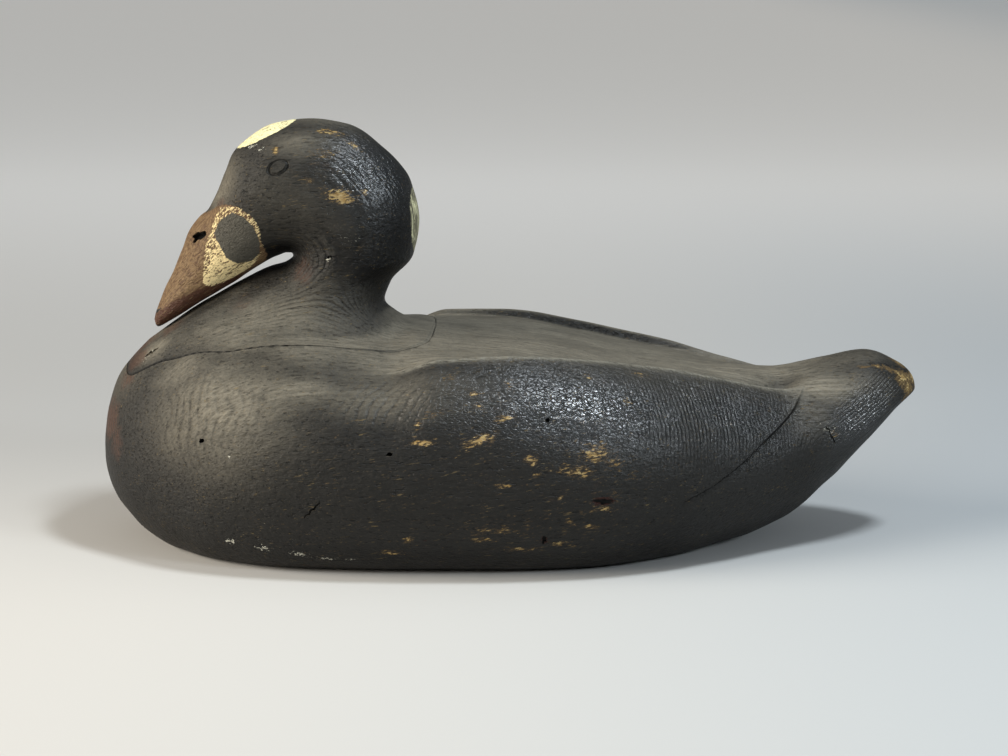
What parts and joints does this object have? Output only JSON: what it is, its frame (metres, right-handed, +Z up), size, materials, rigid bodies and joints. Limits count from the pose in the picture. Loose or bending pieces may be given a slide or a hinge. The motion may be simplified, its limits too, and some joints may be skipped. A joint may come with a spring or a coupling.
{
  "type": "scoter decoy",
  "caption": "Carved wooden sea duck decoy with its head bowed over the breast, raised carved wings and a paddle tail, in old dark paint; it stands on its flat underside.",
  "frame": {"origin": "middle of the underside, at the centre of the bounding box's bottom", "axes": "+X from breast to tail, +Y towards the bird's right side, +Z up"},
  "size_m": [0.434, 0.196, 0.2233],
  "materials": {
    "body_paint": "worn charcoal black paint with a dull gloss over weathered wood grain, chipped to bare ochre wood",
    "head_paint": "worn charcoal black paint, cream patches on forehead and nape, ochre and cream bill with a dark spot"
  },
  "bodies": {
    "root": {"body": "body_paint", "head_and_neck": "head_paint"}
  },
  "joints": []
}
